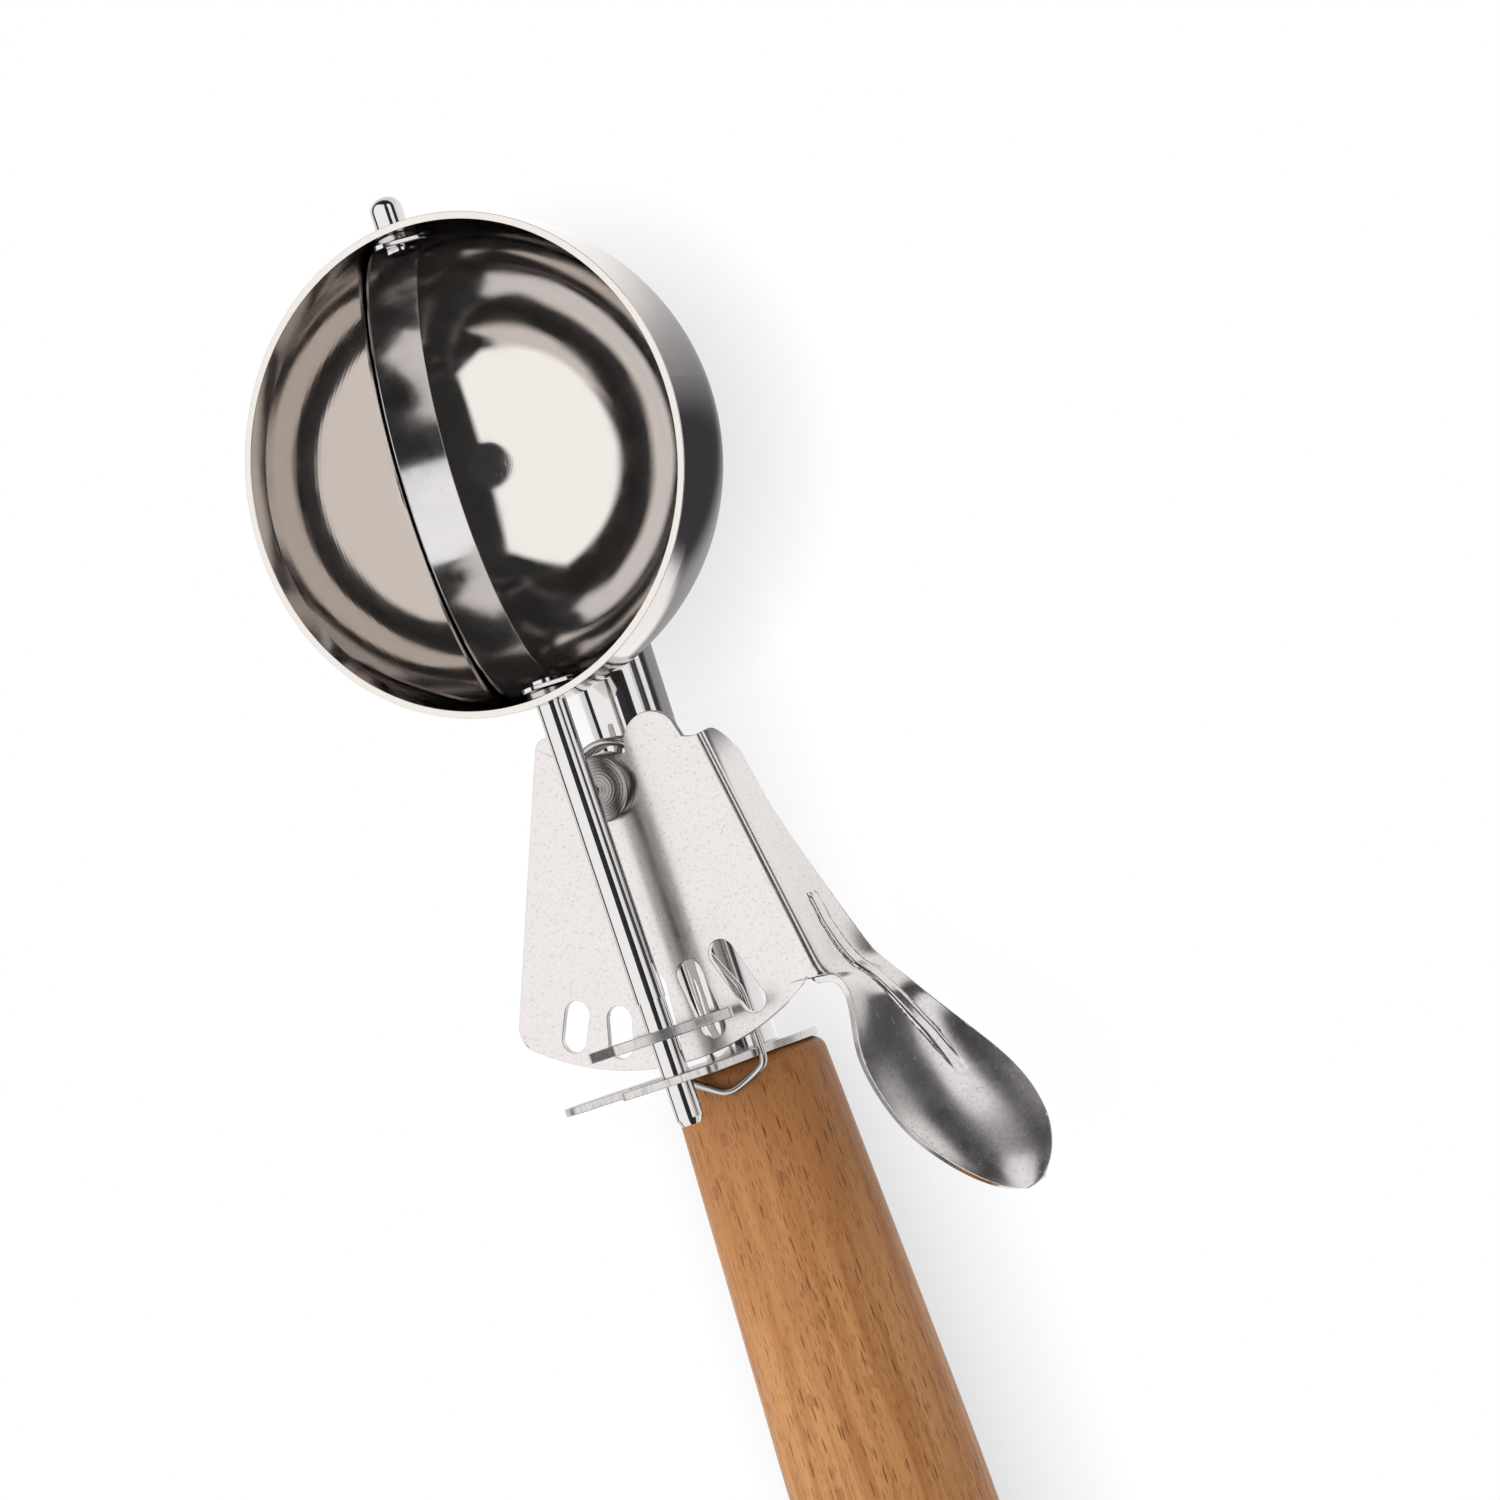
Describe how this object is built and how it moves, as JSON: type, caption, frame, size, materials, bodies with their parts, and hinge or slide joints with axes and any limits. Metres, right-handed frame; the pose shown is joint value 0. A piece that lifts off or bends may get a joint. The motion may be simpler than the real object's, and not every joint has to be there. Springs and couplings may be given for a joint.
{
  "type": "ice cream scoop",
  "caption": "Ice cream scoop with a wooden handle, a steel bowl and a thumb lever that sweeps a scraper blade through the bowl by a slotted rack and pinion.",
  "frame": {"origin": "centre of the handle's butt face", "axes": "+Y along the handle towards the bowl's tip, +Z out of the bowl's mouth, +X towards the thumb lever"},
  "size_m": [0.0677, 0.2214, 0.0394],
  "materials": {
    "handle_wood": "oiled beech, satin",
    "polished_steel": "mirror polished",
    "lever_steel": "satin with fine specks",
    "sheet_steel": "stamped sheet, bright",
    "blade_steel": "bright rolled strip",
    "plain_steel": "turned",
    "spring_wire": "drawn wire"
  },
  "bodies": {
    "frame": {"handle": "handle_wood", "tang_stud": "plain_steel", "base_plate": "sheet_steel", "neck": "polished_steel", "bowl": "polished_steel", "pivot_rivet": "plain_steel", "pivot_bush": "plain_steel", "pivot_washer": "plain_steel", "return_spring": "spring_wire"},
    "lever": {"lever": "lever_steel"},
    "blade": {"scraper_blade": "blade_steel", "tip_pin": "plain_steel", "tip_washer": "plain_steel", "drive_shaft": "polished_steel", "shaft_washer": "plain_steel", "pinion": "sheet_steel"}
  },
  "joints": [
    {"name": "lever_press", "type": "hinge", "parent": "frame", "child": "lever", "pos_m": [0, 0.1462, 0.0118], "axis": [0, 0, -1], "range_deg": [-26.5, 10.4], "stiffness_Nm_per_rad": 0.05, "springref_deg": -40.11, "deforming": ["return_spring"]},
    {"name": "blade_sweep", "type": "hinge", "parent": "frame", "child": "blade", "pos_m": [0, 0.1874, 0.0181], "axis": [0, 1, 0], "range_deg": [-115.6, 45.4]}
  ],
  "couplings": [
    {"joint": "blade_sweep", "follows": "lever_press", "ratio": 4.3579}
  ]
}
